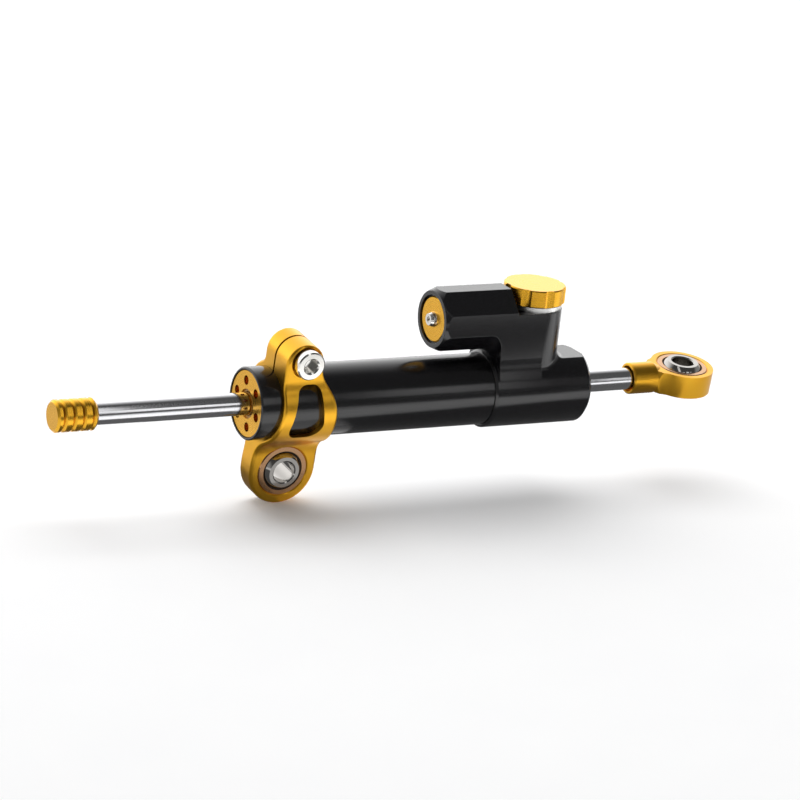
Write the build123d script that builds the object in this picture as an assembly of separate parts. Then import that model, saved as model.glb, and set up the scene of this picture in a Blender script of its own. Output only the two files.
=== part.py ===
from build123d import *
import math
import os

# Linear steering damper: a through rod in a black barrel, a head with a side reservoir and
# an adjuster knob, a clamp with a spherical eye and a rod end with another.
# Millimetres. X runs along the rod towards the rod end, Z up along the knob's axis.
# The origin is the centre of the rod end's ball, on the rod's axis.

# General
overrun = 1.0
seat_gap = 0.03
running_gap = 0.05
slack = 0.3

# Rod
rod_diameter = 10.0
rod_shown_front = 72.0
rod_shown_rear = 29.2
rod_end_chamfer = 0.8
travel_in = 20.0
travel_out = 55.0

# Barrel tube
tube_diameter = 32.0
tube_bore = 27.0
tube_shown = 115.5
spigot_diameter = 29.4
spigot_length = 12.0
tube_edge = 0.5

# Front gland, screwed into the mouth of the tube
gland_flange_diameter = 29.7
gland_flange_length = 7.0
gland_length = 26.0
gland_recess = 0.4
gland_edge = 0.4
gland_hole_count = 6
gland_hole_diameter = 4.2
gland_hole_circle = 20.4
gland_hole_depth = 4.0
gland_hole_turn = 18.0

# Rod seals and guides, the same at both ends
wiper_diameter = 13.0
wiper_width = 3.0
wiper_inset = 0.9
seal_diameter = 16.0
seal_width = 4.0
seal_inset = 6.0
bush_diameter = 13.0
bush_length = 13.0
bush_inset = 11.5
ring_width = 2.4
ring_depth = 1.6
ring_edge = 0.4
bump_length = 2.6
bump_diameter = 18.0
stop_clearance = 1.5

# Piston
piston_length = 18.0
piston_side_gap = 0.2
band_width = 8.0
band_depth = 1.5
clip_width = 1.2
clip_depth = 0.5
clip_wall = 1.3
clip_opening = 4.0
orifice_diameter = 2.0
orifice_circle = 19.0
orifice_count = 2

# Head
head_diameter = 34.8
head_length = 49.8
head_end_chamfer = 1.7
head_shoulder_chamfer = 1.0
head_flat_height = 14.95
head_fillet = 3.2
head_cove = 20.0
knob_inset = 26.1
tower_height = 37.7
tower_diameter = 26.4
web_inset = 2.2

# Reservoir
reservoir_height = 33.68
reservoir_width = 26.4
reservoir_depth = 27.04
reservoir_corner = 8.6
reservoir_overhang = 27.3
reservoir_step = 14.7
reservoir_nose_length = 3.3
reservoir_nose_diameter = 25.4
reservoir_nose_spread = 1.6
reservoir_bore = 20.4
reservoir_end_wall = 3.0
slot_fillet = 5.5

# Reservoir plug and its fill screw
plug_recess = 0.6
plug_length = 9.0
plug_edge = 0.5
plug_groove_width = 0.7
plug_groove_depth = 1.6
fill_head_diameter = 7.0
fill_head_height = 2.4
fill_head_crown = 5.2
fill_key = 2.5
fill_key_depth = 1.4
fill_shank_diameter = 4.0
fill_shank_length = 6.0

# Floating piston in the reservoir
float_length = 8.0
float_wall = 2.4
float_place = 16.5
float_edge = 0.6

# Damping valve under the knob
collar_diameter = 25.0
collar_height = 2.4
collar_edge = 0.3
valve_bore = 12.0
valve_floor = 13.0
cartridge_length = 10.0
stem_diameter = 7.0
stem_length = 6.0
needle_diameter = 5.0
needle_tip_diameter = 1.6
needle_tip_length = 3.4
needle_lift = 0.8
needle_square = 2.8
needle_square_length = 4.0
needle_travel = 0.6
port_diameter = 3.0
port_height = 25.6
channel_height = 11.2

# Adjuster knob
knob_diameter = 27.8
knob_height = 7.8
knob_edge = 0.5
knob_float = 0.1
flute_count = 8
flute_radius = 4.2
flute_depth = 0.9
grub_diameter = 3.0
grub_length = 5.0
grub_key = 1.5
grub_key_depth = 1.2
detent_diameter = 2.4
detent_circle = 18.0
detent_track = 0.5
detent_hole_depth = 5.5
detent_spring_wall = 0.4

# End cap on the front of the rod
cap_diameter = 14.1
cap_length = 19.0
cap_socket_depth = 12.0
cap_edge = 1.0
cap_rear_edge = 1.2
cap_groove_count = 4
cap_groove_first = 3.3
cap_groove_pitch = 4.45
cap_groove_width = 1.9
cap_groove_depth = 0.9

# Spherical bearings, the same at both ends
ball_diameter = 20.0
ball_width = 14.0
ball_bore = 10.0
ball_bore_edge = 0.5
liner_wall = 0.6
liner_width = 9.6
race_diameter = 23.4
race_width = 10.5
race_edge = 0.4

# Rod end
eye_diameter = 29.0
eye_edge = 0.4
shank_diameter = 14.3
shank_reach = 28.5
shank_socket_depth = 12.0
shank_mouth_diameter = 11.8
shank_mouth_depth = 3.0
shank_edge = 0.5
shank_blend = 7.0
rod_end_roll = 7.0

# Clamp
clamp_place = 20.3
clamp_roll = 6.0
clamp_wall = 2.6
sweep_low_front = 13.7
sweep_low_drop = 13.5
sweep_high_front = 10.8
sweep_high_rise = 4.0
clamp_rear_edge = 15.8
clamp_side_bulge = 3.3
lobe_drop = 31.1
lobe_diameter = 31.6
clamp_round = 1.4
neck_fillet = 9.0
ear_shift = 0.4
ear_drop = 1.2
ear_offset = 1.2
ear_height = 24.3
ear_diameter = 18.0
ear_front = 14.0
ear_rear = 7.0
ear_front_fillet = 10.0
ear_fillet = 4.0
slit_offset = 2.4
slit_width = 1.2
window_top = 14.0
window_bottom = 10.4
window_top_front = 3.1
window_top_rear = 7.0
window_bottom_front = 7.6
window_bottom_rear = 10.2
window_top_fillet = 4.6
window_front_fillet = 4.5
window_rear_fillet = 7.0

# Clamp screw
screw_diameter = 8.0
screw_length = 16.5
screw_head_diameter = 13.0
screw_head_height = 8.0
screw_head_edge = 0.6
screw_key = 6.0
screw_key_depth = 4.0
screw_key_entry = 0.8
counterbore_diameter = 14.5
counterbore_depth = 3.6

# Places along the rod, from the rod end's ball
shank_face_x = -shank_reach
head_end_x = shank_face_x - rod_shown_rear
head_shoulder_x = head_end_x - head_length
mouth_x = head_shoulder_x - tube_shown
cap_rear_x = mouth_x - rod_shown_front
cap_face_x = cap_rear_x - cap_length
knob_x = head_end_x - knob_inset
web_x = head_shoulder_x + web_inset
reservoir_x = head_shoulder_x - reservoir_overhang
step_x = knob_x - reservoir_step
clamp_x = mouth_x + clamp_place
spigot_end_x = head_shoulder_x + spigot_length
gland_face_x = mouth_x + gland_recess
gland_end_x = mouth_x + gland_length
piston_x = gland_end_x + bump_length + stop_clearance + travel_in + piston_length / 2
float_x = reservoir_x + float_place
reservoir_end_x = knob_x - valve_bore / 2 - reservoir_end_wall
plug_face_x = reservoir_x + plug_recess
rod_front_x = cap_rear_x - cap_socket_depth
rod_rear_x = shank_face_x + shank_socket_depth

# Sizes that follow from the others
rod_radius = rod_diameter / 2
bore_radius = tube_bore / 2
guide_radius = rod_radius + running_gap
passage_radius = rod_radius + slack
piston_radius = bore_radius - piston_side_gap
ball_radius = ball_diameter / 2
liner_radius = ball_radius + running_gap
race_inner_radius = liner_radius + liner_wall + running_gap
ring_radius = tube_diameter / 2 + clamp_wall
collar_top = tower_height + collar_height
knob_bottom = collar_top + knob_float
knob_top = knob_bottom + knob_height
cartridge_bottom = tower_height - cartridge_length
needle_bottom = valve_floor + needle_lift
stem_bottom = collar_top - stem_length
needle_top = stem_bottom - needle_travel


def turned_x(*outline):
    """Turn an outline of (x, radius) points about the rod's axis."""
    return revolve(make_face(Polyline(*outline, close=True)), Axis.X)


def turned_z(*outline):
    """Turn an outline of (radius, z) points about the vertical axis."""
    return revolve(Plane.XZ * make_face(Polyline(*outline, close=True)), Axis.Z)


def ring_x(start, end, inner, outer):
    return turned_x((start, inner), (start, outer), (end, outer), (end, inner))


def ring_z(bottom, top, inner, outer):
    return turned_z((inner, bottom), (outer, bottom), (outer, top), (inner, top))


def rod_x(start, end, radius):
    return ring_x(start, end, 0, radius)


def rod_z(bottom, top, radius):
    return ring_z(bottom, top, 0, radius)


def rod_y(start, end, radius):
    return extrude(Plane.XZ.offset(-end) * Circle(radius), end - start)


def block(x0, x1, y0, y1, z0, z1):
    middle = Pos((x0 + x1) / 2, (y0 + y1) / 2, (z0 + z1) / 2)
    return middle * Box(x1 - x0, y1 - y0, z1 - z0)


def hex_prism(key, depth):
    """A hexagonal hole's shape along +Z, from the origin down to its depth."""
    return Pos(0, 0, -depth) * extrude(RegularPolygon(key / math.sqrt(3), 6), depth + overrun)


def seal_ring(start, inner, outer):
    """A rubber ring in its groove, squeezed to a flat-sided section."""
    end = start + ring_width
    return turned_x(
        (start, inner), (start, outer - ring_edge), (start + ring_edge, outer),
        (end - ring_edge, outer), (end, outer - ring_edge), (end, inner))


# Rod guides and seals
def rod_wiper(face_x, side):
    near = face_x + side * wiper_inset
    far = near + side * wiper_width
    lip = near + side * wiper_width / 3
    outer = wiper_diameter / 2
    return turned_x((lip, guide_radius), (near, guide_radius + ring_edge), (near, outer), (far, outer),
                    (far, guide_radius))


def rod_seal(face_x, side):
    near = face_x + side * seal_inset
    far = near + side * seal_width
    lip = far - side * seal_width / 4
    outer = seal_diameter / 2
    return turned_x((near, guide_radius), (near, outer), (far, outer), (far, outer - ring_edge),
                    (lip, (outer + guide_radius) / 2), (far, guide_radius + ring_edge),
                    (far, guide_radius))


def guide_bush(face_x, side):
    near = face_x + side * bush_inset
    return ring_x(near, near + side * bush_length, guide_radius, bush_diameter / 2)


def rod_passage(face_x, side, end_x):
    """The stepped hole that holds a wiper, a seal and a bush round the rod."""
    near = face_x - side * overrun
    wiper_end = face_x + side * (wiper_inset + wiper_width)
    seal_start = face_x + side * seal_inset
    seal_end = seal_start + side * seal_width
    bush_start = face_x + side * bush_inset
    bush_end = bush_start + side * bush_length
    hole = rod_x(near, end_x + side * overrun, passage_radius)
    hole += rod_x(near, wiper_end, wiper_diameter / 2 + seat_gap)
    hole += rod_x(seal_start, seal_end, seal_diameter / 2 + seat_gap)
    hole += rod_x(bush_start, bush_end, bush_diameter / 2 + seat_gap)
    return hole


# Barrel tube
def barrel_tube():
    outer = tube_diameter / 2
    spigot = spigot_diameter / 2
    mouth = gland_flange_diameter / 2 + seat_gap
    flange_end = gland_face_x + gland_flange_length
    return turned_x(
        (mouth_x, mouth), (mouth_x, outer - tube_edge), (mouth_x + tube_edge, outer),
        (head_shoulder_x, outer), (head_shoulder_x, spigot), (spigot_end_x, spigot),
        (spigot_end_x, bore_radius), (flange_end, bore_radius), (flange_end, mouth))


def tube_seal():
    start = head_shoulder_x + spigot_length / 2
    outer = spigot_diameter / 2 + seat_gap + ring_depth
    return seal_ring(start, spigot_diameter / 2 + seat_gap, outer - seat_gap)


# Front gland
def front_gland():
    flange = gland_flange_diameter / 2
    body_radius = bore_radius - seat_gap
    flange_end = gland_face_x + gland_flange_length
    gland = turned_x(
        (gland_face_x, 0), (gland_face_x, flange - gland_edge), (gland_face_x + gland_edge, flange),
        (flange_end, flange), (flange_end, body_radius), (gland_end_x, body_radius), (gland_end_x, 0))
    gland -= rod_passage(gland_face_x, 1, gland_end_x)
    groove_x = gland_seal_start()
    gland -= ring_x(groove_x, groove_x + ring_width, bore_radius - ring_depth, bore_radius + overrun)
    for index in range(gland_hole_count):
        angle = math.radians(gland_hole_turn + index * 360 / gland_hole_count)
        place = Pos(0, gland_hole_circle / 2 * math.cos(angle), gland_hole_circle / 2 * math.sin(angle))
        hole = rod_x(gland_face_x - overrun, gland_face_x + gland_hole_depth, gland_hole_diameter / 2)
        gland -= place * hole
    return gland


def gland_seal_start():
    return gland_end_x - 2 * ring_width


def gland_seal():
    return seal_ring(gland_seal_start(), bore_radius - ring_depth + seat_gap, bore_radius - seat_gap)


def bump_stop(start, end):
    return ring_x(start, end, passage_radius, bump_diameter / 2)


# Rod and piston
def rod():
    front = rod_front_x + seat_gap
    rear = rod_rear_x - seat_gap
    bar = turned_x(
        (front, 0), (front, rod_radius - rod_end_chamfer), (front + rod_end_chamfer, rod_radius),
        (rear - rod_end_chamfer, rod_radius), (rear, rod_radius - rod_end_chamfer), (rear, 0))
    for start in clip_starts():
        bar -= ring_x(start, start + clip_width, rod_radius - clip_depth, rod_radius + overrun)
    return bar


def clip_starts():
    front = piston_x - piston_length / 2 - clip_width - seat_gap
    rear = piston_x + piston_length / 2 + seat_gap
    return front, rear


def piston_clips():
    """Two open snap rings in the rod's grooves, one each side of the piston."""
    clips = []
    inner = rod_radius - clip_depth + seat_gap
    outer = rod_radius + clip_wall
    for start in clip_starts():
        clip = ring_x(start + seat_gap, start + clip_width - seat_gap, inner, outer)
        opening = clip_opening / 2
        clips.append(clip - block(start, start + clip_width, -opening, opening, 0, outer + overrun))
    return Compound(children=clips)


def piston():
    front = piston_x - piston_length / 2
    rear = piston_x + piston_length / 2
    body = turned_x(
        (front, rod_radius + seat_gap), (front, piston_radius - ring_edge), (front + ring_edge, piston_radius),
        (rear - ring_edge, piston_radius), (rear, piston_radius - ring_edge), (rear, rod_radius + seat_gap))
    groove = band_width / 2 + running_gap
    body -= ring_x(piston_x - groove, piston_x + groove, bore_radius - band_depth, bore_radius)
    for index in range(orifice_count):
        turn = Rot(index * 360 / orifice_count, 0, 0)
        hole = rod_x(front - overrun, rear + overrun, orifice_diameter / 2)
        body -= turn * Pos(0, orifice_circle / 2, 0) * hole
    return body


def piston_band():
    half = band_width / 2
    return ring_x(piston_x - half, piston_x + half, bore_radius - band_depth + running_gap,
                  bore_radius - running_gap)


# Head with the reservoir's housing and the valve's tower, machined from one block
def reservoir_section():
    """The reservoir housing's octagonal section, in Y and Z about its own axis."""
    side = reservoir_width / 2
    top = reservoir_depth / 2
    flat = side - reservoir_corner
    rise = top - reservoir_corner
    return make_face(Polyline(
        (-flat, top), (flat, top), (side, rise), (side, -rise),
        (flat, -top), (-flat, -top), (-side, -rise), (-side, rise), close=True))


def reservoir_block():
    section = Plane.YZ.offset(reservoir_x) * Pos(0, reservoir_height) * reservoir_section()
    housing = extrude(section, step_x - reservoir_x)
    nose = reservoir_nose_diameter / 2
    spread = nose + reservoir_nose_spread
    nose_end_x = reservoir_x + reservoir_nose_length
    envelope = turned_x(
        (reservoir_x, 0), (reservoir_x, nose), (nose_end_x, spread), (nose_end_x, reservoir_depth),
        (step_x, reservoir_depth), (step_x, 0))
    return housing & Pos(0, 0, reservoir_height) * envelope


def slot_prism(turn, face):
    """The room inside one face of the reservoir, rounded out where it meets the web."""
    near = web_x - slot_fillet
    low = -face - slot_fillet
    middle = near + slot_fillet * math.sqrt(0.5), low + slot_fillet * math.sqrt(0.5)
    outline = [
        Line((near, reservoir_width), (web_x, reservoir_width)), Line((web_x, reservoir_width), (web_x, low)),
        ThreePointArc((web_x, low), middle, (near, -face)), Line((near, -face), (near, reservoir_width))]
    prism = extrude(Plane.XZ * make_face(outline), 2 * reservoir_width, both=True)
    return Pos(0, 0, reservoir_height) * Rot(turn, 0, 0) * prism


def slot_flare():
    """The rounded corner between the web and the three faces under the reservoir."""
    slanted = (reservoir_width / 2 + reservoir_depth / 2 - reservoir_corner) / math.sqrt(2)
    half = tower_diameter / 2
    flare = block(web_x - slot_fillet, web_x, -half, half, 0, reservoir_height)
    flare = flare & slot_prism(0, reservoir_depth / 2)
    return flare & slot_prism(45, slanted) & slot_prism(-45, slanted)


def tower_section():
    """The web's section in Y and Z: the cylinder and the tower, blended by a wide cove."""
    section = Circle(head_diameter / 2)
    section += Pos(0, tower_height / 2) * Rectangle(tower_diameter, tower_height)
    roots = section.vertices().filter_by(lambda corner: 0 < corner.Y < head_diameter / 2)
    return fillet(roots, head_cove)


def head_outside():
    radius = head_diameter / 2
    shell = turned_x(
        (head_shoulder_x, 0), (head_shoulder_x, radius - head_shoulder_chamfer),
        (head_shoulder_x + head_shoulder_chamfer, radius), (head_end_x - head_end_chamfer, radius),
        (head_end_x, radius - head_end_chamfer), (head_end_x, 0))
    shell -= block(knob_x, head_end_x + overrun, -radius, radius, head_flat_height, head_diameter)
    half = tower_diameter / 2
    tower = block(web_x, knob_x, -half, half, 0, tower_height)
    tower += Pos(knob_x, 0, 0) * rod_z(0, tower_height, half)
    body = shell + tower + reservoir_block()
    body = fillet(body.edges().filter_by(is_tower_root), head_fillet)
    body += extrude(Plane.YZ.offset(web_x) * tower_section(), knob_x - web_x)
    return body + slot_flare()


def is_tower_root(edge):
    """True where the tower meets the cylinder or the milled flat."""
    box = edge.bounding_box()
    along = web_x - slack < box.min.X and box.max.X < knob_x + tower_diameter / 2 + slack
    low = head_flat_height / 2 < box.min.Z and box.max.Z < head_flat_height + slack
    return along and low and box.max.X > web_x + slack


def head_cavities():
    hole = rod_passage(head_end_x, -1, spigot_end_x)
    hole += rod_x(head_shoulder_x - overrun, spigot_end_x, spigot_diameter / 2 + seat_gap)
    seal_start = head_shoulder_x + spigot_length / 2
    hole += rod_x(seal_start, seal_start + ring_width, spigot_diameter / 2 + seat_gap + ring_depth)
    reservoir = rod_x(reservoir_x - overrun, reservoir_end_x, reservoir_bore / 2)
    reservoir += rod_x(reservoir_x - overrun, reservoir_x + plug_groove_depth,
                       reservoir_bore / 2 + plug_groove_width)
    hole += Pos(0, 0, reservoir_height) * reservoir
    valve = rod_z(valve_floor, tower_height + overrun, valve_bore / 2)
    valve += rod_z(channel_height, valve_floor, port_diameter / 2)
    hole += Pos(knob_x, 0, 0) * valve
    hole += Pos(0, 0, port_height) * rod_x(reservoir_end_x - overrun, knob_x, port_diameter / 2)
    hole += Pos(0, 0, channel_height) * rod_x(spigot_end_x - overrun, knob_x, port_diameter / 2)
    return hole


def head_housing():
    return head_outside() - head_cavities()


# Reservoir plug, fill screw and floating piston
def reservoir_plug():
    radius = reservoir_bore / 2 - seat_gap
    face = plug_face_x
    end = face + plug_length
    groove = end - 2 * ring_width
    plug = turned_x((face, 0), (face, radius - plug_edge), (face + plug_edge, radius), (end, radius), (end, 0))
    plug -= ring_x(groove, groove + ring_width, radius - ring_depth, radius + overrun)
    plug -= rod_x(face - overrun, face + fill_shank_length + overrun, fill_shank_diameter / 2 + seat_gap)
    return Pos(0, 0, reservoir_height) * plug


def plug_seal():
    radius = reservoir_bore / 2 - seat_gap
    start = plug_face_x + plug_length - 2 * ring_width
    return Pos(0, 0, reservoir_height) * seal_ring(start, radius - ring_depth + seat_gap, radius)


def fill_screw():
    """Button-head screw with a hexagonal socket, its head proud of the plug."""
    head = fill_head_diameter / 2
    crown = fill_head_crown / 2
    shank = fill_shank_diameter / 2
    face = plug_face_x
    top = face - fill_head_height
    outline = [(face, 0), (face, head), (top + fill_head_height / 2, (2 * head + crown) / 3), (top, crown), (top, 0)]
    screw = turned_x(*outline) + rod_x(face, face + fill_shank_length, shank)
    key = Pos(top, 0, 0) * Rot(0, -90, 0) * hex_prism(fill_key, fill_key_depth)
    return Pos(0, 0, reservoir_height) * (screw - key)


def floating_piston():
    radius = reservoir_bore / 2 - running_gap
    start = float_x
    end = float_x + float_length
    cup = turned_x(
        (start, radius - float_wall), (start, radius - float_edge), (start + float_edge, radius),
        (end - float_edge, radius), (end, radius - float_edge), (end, 0), (end - float_wall, 0),
        (end - float_wall, radius - float_wall))
    groove = start + (float_length - ring_width) / 2
    cup -= ring_x(groove, groove + ring_width, radius - ring_depth, radius + overrun)
    return Pos(0, 0, reservoir_height) * cup


def float_seal():
    radius = reservoir_bore / 2 - running_gap
    start = float_x + (float_length - ring_width) / 2
    return Pos(0, 0, reservoir_height) * seal_ring(start, radius - ring_depth + seat_gap, radius)


# Damping valve
def valve_collar():
    outer = collar_diameter / 2
    track = detent_circle / 2
    half = detent_diameter / 2
    collar = turned_z(
        (stem_diameter / 2 + running_gap, tower_height), (outer, tower_height), (outer, collar_top - collar_edge),
        (outer - collar_edge, collar_top), (stem_diameter / 2 + running_gap, collar_top))
    collar -= ring_z(collar_top - detent_track, collar_top + overrun, track - half, track + half)
    return Pos(knob_x, 0, 0) * collar


def valve_cartridge():
    outer = valve_bore / 2 - seat_gap
    stem = stem_diameter / 2 + running_gap
    guide = needle_diameter / 2 + running_gap
    stem_floor = stem_bottom - slack
    cartridge = turned_z(
        (guide, cartridge_bottom), (outer, cartridge_bottom), (outer, tower_height), (stem, tower_height),
        (stem, stem_floor), (guide, stem_floor))
    groove = cartridge_bottom + ring_width
    cartridge -= ring_z(groove, groove + ring_width, outer - ring_depth, outer + overrun)
    return Pos(knob_x, 0, 0) * cartridge


def cartridge_seal():
    outer = valve_bore / 2 - seat_gap
    bottom = cartridge_bottom + ring_width
    return Pos(knob_x, 0, 0) * ring_z(bottom, bottom + ring_width, outer - ring_depth + seat_gap, outer)


def needle():
    body = needle_diameter / 2
    tip = needle_tip_diameter / 2
    shoulder = needle_bottom + needle_tip_length
    pin = turned_z(
        (0, needle_bottom), (tip, needle_bottom), (body, shoulder), (body, needle_top), (0, needle_top))
    half = needle_square / 2
    pin += block(-half, half, -half, half, needle_top, needle_top + needle_square_length)
    return Pos(knob_x, 0, 0) * pin


# Adjuster knob
def knob():
    outer = knob_diameter / 2
    body = turned_z(
        (0, knob_bottom), (outer - knob_edge, knob_bottom), (outer, knob_bottom + knob_edge),
        (outer, knob_top - knob_edge), (outer - knob_edge, knob_top), (0, knob_top))
    flute_place = outer + flute_radius - flute_depth
    flute = Pos(flute_place, 0, 0) * rod_z(knob_bottom - overrun, knob_top + overrun, flute_radius)
    for index in range(flute_count):
        body -= Rot(0, 0, index * 360 / flute_count) * flute
    body += rod_z(stem_bottom, knob_bottom, stem_diameter / 2)
    half = needle_square / 2 + running_gap
    socket_top = needle_top + needle_square_length + 2 * needle_travel
    body -= block(-half, half, -half, half, stem_bottom - overrun, socket_top)
    detent = detent_diameter / 2 + seat_gap
    body -= Pos(0, detent_circle / 2, 0) * rod_z(knob_bottom - overrun, knob_bottom + detent_hole_depth, detent)
    body -= grub_hole()
    return Pos(knob_x, 0, 0) * body


def grub_height():
    return knob_bottom + knob_height / 2


def grub_place():
    return knob_diameter / 2 - flute_depth - slack


def grub_hole():
    end = grub_place() - grub_length - slack
    return Pos(0, 0, grub_height()) * rod_x(-knob_diameter / 2 - overrun, -end, grub_diameter / 2 + seat_gap)


def knob_grub_screw():
    face = -grub_place()
    screw = rod_x(face, face + grub_length, grub_diameter / 2)
    screw -= Pos(face, 0, 0) * Rot(0, -90, 0) * hex_prism(grub_key, grub_key_depth)
    return Pos(knob_x, 0, grub_height()) * screw


def detent_ball_bottom():
    return collar_top - detent_track + running_gap


def detent_ball():
    radius = detent_diameter / 2 - running_gap
    return Pos(knob_x, detent_circle / 2, detent_ball_bottom() + radius) * Sphere(radius)


def detent_spring():
    radius = detent_diameter / 2 - running_gap
    bottom = detent_ball_bottom() + 2 * radius
    top = knob_bottom + detent_hole_depth - seat_gap
    coil = ring_z(bottom, top, radius - detent_spring_wall, radius)
    return Pos(knob_x, detent_circle / 2, 0) * coil


# End cap
def end_cap():
    outer = cap_diameter / 2
    face = cap_face_x
    points = [(face, 0), (face, outer - cap_edge), (face + cap_edge, outer)]
    for index in range(cap_groove_count):
        middle = face + cap_groove_first + index * cap_groove_pitch
        points.append((middle - cap_groove_width / 2, outer))
        points.append((middle, outer - cap_groove_depth))
        points.append((middle + cap_groove_width / 2, outer))
    points.append((cap_rear_x - cap_rear_edge, outer))
    points.append((cap_rear_x, outer - cap_rear_edge))
    points.append((cap_rear_x, 0))
    return turned_x(*points) - rod_x(rod_front_x, cap_rear_x + overrun, rod_radius + seat_gap)


# Spherical bearing, with its bore along Z
def bearing_race():
    outer = race_diameter / 2
    half = race_width / 2
    race = turned_z(
        (0, -half), (outer - race_edge, -half), (outer, -half + race_edge), (outer, half - race_edge),
        (outer - race_edge, half), (0, half))
    return race - Sphere(race_inner_radius)


def bearing_liner():
    half = liner_width / 2
    shell = Sphere(race_inner_radius - running_gap) - Sphere(liner_radius)
    return shell & rod_z(-half, half, race_diameter / 2)


def bearing_ball():
    half = ball_width / 2
    bore = ball_bore / 2
    ball = Sphere(ball_radius) & rod_z(-half, half, ball_radius)
    hole = turned_z(
        (0, -half - overrun), (bore + ball_bore_edge + overrun, -half - overrun), (bore, -half + ball_bore_edge),
        (bore, half - ball_bore_edge), (bore + ball_bore_edge + overrun, half + overrun), (0, half + overrun))
    return ball - hole


def at_rod_end(piece):
    return Rot(rod_end_roll, 0, 0) * piece


def at_lobe(piece):
    return at_clamp(Pos(0, 0, -lobe_drop) * Rot(90, 0, 0) * piece)


def at_clamp(piece):
    return Pos(clamp_x, 0, 0) * Rot(clamp_roll, 0, 0) * piece


def eye_hole():
    """The hole for a race, with its edges eased, along Z."""
    radius = race_diameter / 2 + seat_gap
    half = race_width / 2
    wide = radius + eye_edge
    end = half + neck_fillet
    return turned_z(
        (0, -end), (wide, -end), (wide, -half), (radius, -half + eye_edge),
        (radius, half - eye_edge), (wide, half), (wide, end), (0, end))


# Rod end
def rod_end():
    eye = eye_diameter / 2
    shank = shank_diameter / 2
    half = race_width / 2
    blend_x = math.sqrt((eye + shank_blend) ** 2 - (shank + shank_blend) ** 2)
    plan = Circle(eye) + Pos(-blend_x, 0) * Rectangle(2 * blend_x, shank_diameter)
    corners = plan.vertices().filter_by(lambda corner: -eye < corner.X < 0)
    plan = fillet(corners, shank_blend)
    plate = extrude(plan, half, both=True)
    spread = eye + overrun
    plate = plate & turned_x(
        (-blend_x, 0), (-blend_x, shank), (-blend_x + spread, shank + spread), (spread, shank + spread), (spread, 0))
    neck = turned_x(
        (shank_face_x, 0), (shank_face_x, shank - shank_edge), (shank_face_x + shank_edge, shank),
        (-blend_x, shank), (-blend_x + 2 * (shank - half), half), (-blend_x + 2 * (shank - half), 0))
    body = plate + neck - eye_hole()
    body -= rod_x(shank_face_x - overrun, rod_rear_x, rod_radius + seat_gap)
    body -= rod_x(shank_face_x - overrun, shank_face_x + shank_mouth_depth, shank_mouth_diameter / 2)
    return at_rod_end(body)


# Clamp, made in its own place: the tube's axis at the origin, its eye below
def clamp_side_profile():
    """The clamp's outline seen from the side, in X and Z, smooth all the way round."""
    lobe = lobe_diameter / 2
    ear = ear_diameter / 2
    ear_x = -ear_offset - ear_shift
    ear_z = ear_height - ear_drop
    front = Line((-lobe, -lobe_drop), (-lobe, -lobe_drop + clamp_wall))
    low = (-sweep_low_front, -sweep_low_drop)
    high = (-sweep_high_front, sweep_high_rise)
    front_sweep = Spline(front @ 1, low, high, (ear_x - ear, ear_z), tangents=((0, 1), (0, 1)))
    ear_top = ThreePointArc(front_sweep @ 1, (ear_x, ear_z + ear), (ear_x + ear, ear_z))
    waist = (clamp_rear_edge, -lobe_drop / 6)
    middle = ((ear_x + ear + clamp_rear_edge) / 2 + clamp_side_bulge / 2, (ear_z - lobe_drop / 6) / 2)
    rear_sweep = Spline(ear_top @ 1, middle, waist, tangents=((0, -1), (0, -1)))
    rear_edge = Line(waist, (lobe, -lobe_drop))
    bottom = ThreePointArc(rear_edge @ 1, (0, -lobe_drop - lobe), front @ 0)
    return make_face([front, front_sweep, ear_top, rear_sweep, rear_edge, bottom])


def clamp_end_profile():
    """The clamp's outline seen along the tube, in Y and Z."""
    half = race_width / 2
    low = lobe_drop + lobe_diameter / 2 + overrun
    high = ear_height + ear_diameter / 2 + overrun
    profile = Circle(ring_radius)
    profile += Pos(0, -low / 2) * Rectangle(2 * half, low)
    neck = profile.vertices().filter_by(lambda corner: -ring_radius < corner.Y < 0)
    profile = fillet(neck, neck_fillet)
    profile += Pos((ear_rear - ear_front) / 2, high / 2) * Rectangle(ear_front + ear_rear, high)
    roots = profile.vertices().filter_by(lambda corner: 0 < corner.Y < ring_radius).sort_by(Axis.X)
    profile = fillet(roots[0], ear_front_fillet)
    roots = profile.vertices().filter_by(lambda corner: corner.X > 0 and 0 < corner.Y < ring_radius)
    return fillet(roots, ear_fillet)


def clamp_window():
    corners = [
        (-window_top_front, window_top), (window_top_rear, window_top),
        (window_bottom_rear, -window_bottom), (-window_bottom_front, -window_bottom)]
    outline = make_face(Polyline(*corners, close=True))
    outline = fillet(outline.vertices().group_by(Axis.Y)[-1], window_top_fillet)
    outline = fillet(outline.vertices().group_by(Axis.Y)[0].sort_by(Axis.X)[0], window_front_fillet)
    outline = fillet(outline.vertices().group_by(Axis.Y)[0].sort_by(Axis.X)[-1], window_rear_fillet)
    return extrude(Plane.XZ * outline, 2 * ring_radius, both=True)


def clamp_screw_hole():
    head_seat = -ear_front + counterbore_depth
    hole = rod_y(-ear_front - overrun, head_seat, counterbore_diameter / 2)
    hole += rod_y(head_seat - overrun, -slit_offset, screw_diameter / 2 + slack)
    hole += rod_y(-slit_offset, ear_rear + overrun, screw_diameter / 2 + seat_gap)
    return Pos(-ear_offset, 0, ear_height) * hole


def is_clamp_rim(edge):
    """True for the edges between the clamp's outline and its sides."""
    return edge.geom_type != GeomType.LINE or edge.bounding_box().size.Z > slack


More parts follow.
